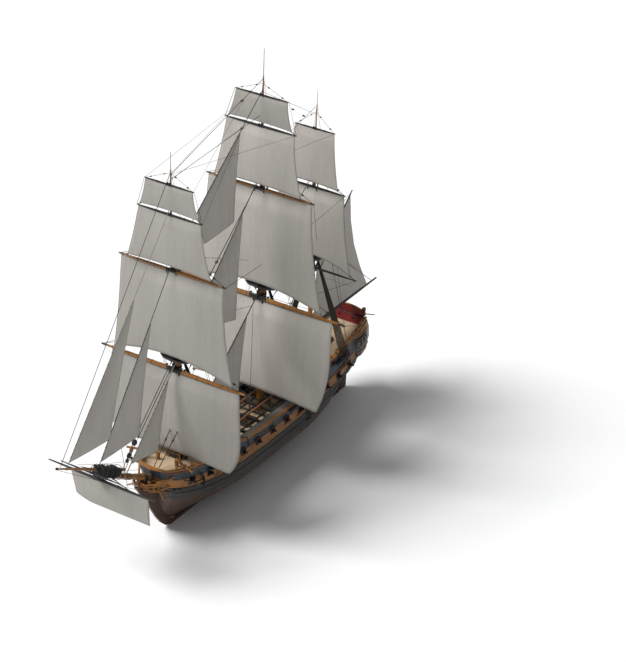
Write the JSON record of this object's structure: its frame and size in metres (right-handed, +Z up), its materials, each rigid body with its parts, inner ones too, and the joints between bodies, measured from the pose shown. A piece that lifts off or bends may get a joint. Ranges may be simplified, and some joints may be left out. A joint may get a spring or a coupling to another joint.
{
  "type": "scale model of a three-masted sailing ship",
  "caption": "Three-masted square-rigged sailing ship under full sail with a decked wooden hull, guns, bowsprit and staysails, as a half-size model.",
  "frame": {"origin": "on the centreline at the waterline, beside the foot of the main mast", "axes": "+X to the bow, +Y to port, +Z up"},
  "size_m": [31.8561, 11.8, 26.0953],
  "materials": {
    "side": "painted near-black",
    "keel": "dark reddish brown",
    "plank": "bare planks",
    "ochre": "ochre varnish and paint",
    "red": "painted red",
    "skin": "carved and painted",
    "black": "painted black",
    "iron": "blacked iron",
    "sail": "flax canvas",
    "rope": "tarred rope"
  },
  "bodies": {
    "hull_body": {"bowsprit": "ochre", "figurehead": "skin", "flying_jib": "sail", "fore_mast": "ochre", "fore_stay": "rope", "fore_topmast": "ochre", "fore_topmast_staysail": "sail", "forecastle_deck": "plank", "gun_battery_port": "iron", "gun_battery_starboard": "iron", "head_rails": "ochre", "hull": "side", "jib": "sail", "jib_boom": "ochre", "keel_and_stem": "keel", "main_mast": "ochre", "main_stay": "rope", "main_staysail": "sail", "main_topgallant_staysail": "sail", "main_topmast": "ochre", "main_topmast_staysail": "sail", "mizzen_mast": "ochre", "mizzen_stay": "rope", "mizzen_topmast": "ochre", "quarterdeck": "plank", "quarterdeck_guns_port": "iron", "quarterdeck_guns_starboard": "iron", "rails": "ochre", "stern_galleries": "ochre", "taffrail": "red", "waist_beams": "black"},
    "rudder": {"rudder": "keel"},
    "steering_wheel": {"steering_wheel": "ochre"},
    "capstan": {"capstan": "ochre"},
    "fore_rig": {"fore_course_yard": "ochre", "fore_topsail_yard": "ochre", "fore_topgallant_yards": "black", "fore_course": "sail", "fore_topsail": "sail", "fore_topgallant_sail": "sail", "fore_royal": "sail"},
    "main_rig": {"main_course_yard": "ochre", "main_topsail_yard": "ochre", "main_topgallant_yards": "black", "main_course": "sail", "main_topsail": "sail", "main_topgallant_sail": "sail", "main_royal": "sail"},
    "mizzen_rig": {"crossjack_yard": "black", "mizzen_topsail_yard": "black", "mizzen_topgallant_yard": "black", "mizzen_topsail": "sail", "mizzen_topgallant_sail": "sail"},
    "driver": {"driver_boom": "black", "driver_gaff": "black", "driver_sail": "sail"},
    "spritsail_rig": {"spritsail_yard": "black", "spritsail": "sail"},
    "sprit_topsail_rig": {"sprit_topsail_yard": "black"}
  },
  "joints": [
    {"name": "rudder_turn", "type": "hinge", "parent": "hull_body", "child": "rudder", "pos_m": [-8.99, 0, -2.175], "axis": [-0.0459, 0, 0.9989], "range_deg": [-35, 35]},
    {"name": "wheel_turn", "type": "hinge", "parent": "hull_body", "child": "steering_wheel", "pos_m": [-4.36, 0, 2.6327], "axis": [1, 0, 0], "range_deg": [-420, 420]},
    {"name": "capstan_turn", "type": "hinge", "parent": "hull_body", "child": "capstan", "pos_m": [5.5, 0, 1.9615], "axis": [0, 0, 1], "continuous": true},
    {"name": "fore_yards_brace", "type": "hinge", "parent": "hull_body", "child": "fore_rig", "pos_m": [8.1232, 0, 7.725], "axis": [0.003, 0, 1], "range_deg": [-30, 30]},
    {"name": "main_yards_brace", "type": "hinge", "parent": "hull_body", "child": "main_rig", "pos_m": [-0.1575, 0, 8.675], "axis": [-0.017, 0, 0.9999], "range_deg": [-30, 30]},
    {"name": "mizzen_yards_brace", "type": "hinge", "parent": "hull_body", "child": "mizzen_rig", "pos_m": [-5.4538, 0, 8.385], "axis": [-0.041, 0, 0.9992], "range_deg": [-30, 30]},
    {"name": "driver_swing", "type": "hinge", "parent": "hull_body", "child": "driver", "pos_m": [-5.2785, 0, 4.11], "axis": [-0.041, 0, 0.9992], "range_deg": [-40, 40]},
    {"name": "spritsail_brace", "type": "hinge", "parent": "hull_body", "child": "spritsail_rig", "pos_m": [15.14, 0, 4.065], "axis": [0, 0, 1], "range_deg": [-20, 20]},
    {"name": "sprit_topsail_yard_brace", "type": "hinge", "parent": "hull_body", "child": "sprit_topsail_rig", "pos_m": [16.01, 0, 5.01], "axis": [0, 0, 1], "range_deg": [-20, 20]}
  ],
  "couplings": [
    {"joint": "wheel_turn", "follows": "rudder_turn", "ratio": 12}
  ]
}
